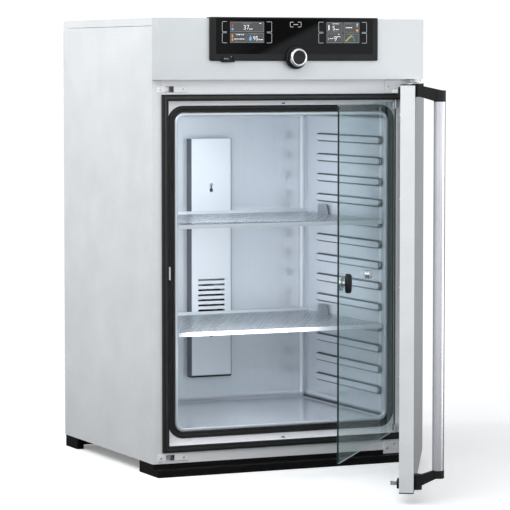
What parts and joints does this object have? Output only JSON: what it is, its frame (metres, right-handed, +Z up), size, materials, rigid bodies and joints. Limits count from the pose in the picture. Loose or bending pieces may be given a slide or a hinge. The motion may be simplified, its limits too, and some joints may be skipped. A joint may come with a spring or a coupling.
{
  "type": "laboratory incubator",
  "caption": "Floor-standing laboratory incubator: steel cabinet with control panel, sheet-metal chamber with shelves, inner glass door and solid outer door with bar handle.",
  "frame": {"origin": "on the floor at the underside of the plinth, on the cabinet's centre plane and in the casing's front plane", "axes": "+X to the right seen from the front, +Y towards the back, +Z up"},
  "size_m": [0.7711, 1.3598, 1.183],
  "materials": {
    "casing_paint": "satin",
    "chamber_steel": "satin",
    "small_steel": "polished",
    "dark_steel": "matte",
    "seal_rubber": "matte",
    "black_plastic": "matte",
    "gloss_black": "gloss",
    "display": "gloss",
    "door_glass": "gloss",
    "handle_metal": "satin",
    "insulation": "matte",
    "heater_foil": "matte",
    "board": "matte",
    "plug": "gloss"
  },
  "bodies": {
    "cabinet": {"side_panel_left": "casing_paint", "side_panel_right": "casing_paint", "top_cover": "casing_paint", "rear_panel": "casing_paint", "base_pan": "casing_paint", "front_frame": "casing_paint", "outer_frame_seal": "seal_rubber", "glass_door_seal": "seal_rubber", "inner_chamber": "chamber_steel", "insulation_block": "insulation", "heating_mats": "heater_foil", "air_guide": "chamber_steel", "guide_screw": "small_steel", "fan_motor": "dark_steel", "chamber_sensors": "small_steel", "control_fascia": "casing_paint", "control_bezel": "black_plastic", "control_glass": "gloss_black", "displays": "display", "knob_collar": "black_plastic", "switch_frame": "black_plastic", "control_board": "board", "power_supply": "small_steel", "latch_keepers": "small_steel", "glass_latch_keeper": "small_steel", "hinge_brackets": "small_steel", "hinge_pins": "small_steel", "frame_screws": "small_steel", "plinth_centre": "black_plastic", "plinth_ends": "black_plastic", "rear_foot_frame": "black_plastic", "power_inlet": "black_plastic", "gas_nozzles": "small_steel"},
    "outer_door": {"outer_door_shell": "casing_paint", "door_insulation": "insulation", "outer_door_liner": "casing_paint", "liner_screws": "small_steel", "door_hinge_bushes": "black_plastic", "latch_housings": "black_plastic", "corner_caps": "black_plastic"},
    "door_handle": {"handle_brackets": "black_plastic", "latch_hooks": "small_steel", "handle_bar": "handle_metal"},
    "glass_door": {"glass_hinge_pins": "small_steel", "glass_pane": "door_glass", "glass_clamps": "small_steel", "port_ring": "small_steel", "port_plug": "plug", "latch_rosette": "small_steel"},
    "glass_latch": {"glass_latch_knob": "black_plastic", "glass_latch_spindle": "small_steel", "glass_latch_tongue": "small_steel"},
    "knob_stem": {"knob_shaft": "small_steel"},
    "knob": {"knob_ring": "handle_metal", "knob_cap": "black_plastic"},
    "rocker": {"power_rocker": "black_plastic"},
    "upper_shelf": {"shelf_upper": "chamber_steel"},
    "lower_shelf": {"shelf_lower": "chamber_steel"},
    "fan": {"fan_wheel": "small_steel"}
  },
  "joints": [
    {"name": "outer_door_swing", "type": "hinge", "parent": "cabinet", "child": "outer_door", "pos_m": [0.369, -0.026, 0.52], "axis": [0, 0, 1], "range_deg": [-60.5, 50]},
    {"name": "glass_door_swing", "type": "hinge", "parent": "cabinet", "child": "glass_door", "pos_m": [0.3286, 0.01385, 0.52], "axis": [0, 0, 1], "range_deg": [-50.31, 42]},
    {"name": "door_handle_turn", "type": "hinge", "parent": "outer_door", "child": "door_handle", "pos_m": [0.0436, -0.65191, 0.52], "axis": [0, 0, 1], "range_deg": [-10, 8]},
    {"name": "glass_latch_turn", "type": "hinge", "parent": "glass_door", "child": "glass_latch", "pos_m": [-0.04311, -0.45556, 0.522], "axis": [0.7694, -0.6388, 0], "range_deg": [-180, 0]},
    {"name": "control_knob_push", "type": "slide", "parent": "cabinet", "child": "knob_stem", "axis": [0, 1, 0], "range_m": [0, 0.0015], "stiffness_N_per_m": 600},
    {"name": "control_knob_spin", "type": "hinge", "parent": "knob_stem", "child": "knob", "pos_m": [0, -0.07, 1.0794], "axis": [0, 1, 0], "continuous": true},
    {"name": "power_rocker_tilt", "type": "hinge", "parent": "cabinet", "child": "rocker", "pos_m": [-0.201, -0.056, 1.0751], "axis": [1, 0, 0], "range_deg": [0, 12]},
    {"name": "shelf_upper_slide", "type": "slide", "parent": "cabinet", "child": "upper_shelf", "axis": [0, -1, 0], "range_m": [0, 0.036]},
    {"name": "shelf_lower_slide", "type": "slide", "parent": "cabinet", "child": "lower_shelf", "axis": [0, -1, 0], "range_m": [0, 0.036]},
    {"name": "fan_spin", "type": "hinge", "parent": "cabinet", "child": "fan", "pos_m": [0, 0.51, 0.398], "axis": [0, 1, 0], "continuous": true}
  ],
  "couplings": [
    {"joint": "glass_door_swing", "follows": "outer_door_swing", "ratio": 0.8314}
  ]
}
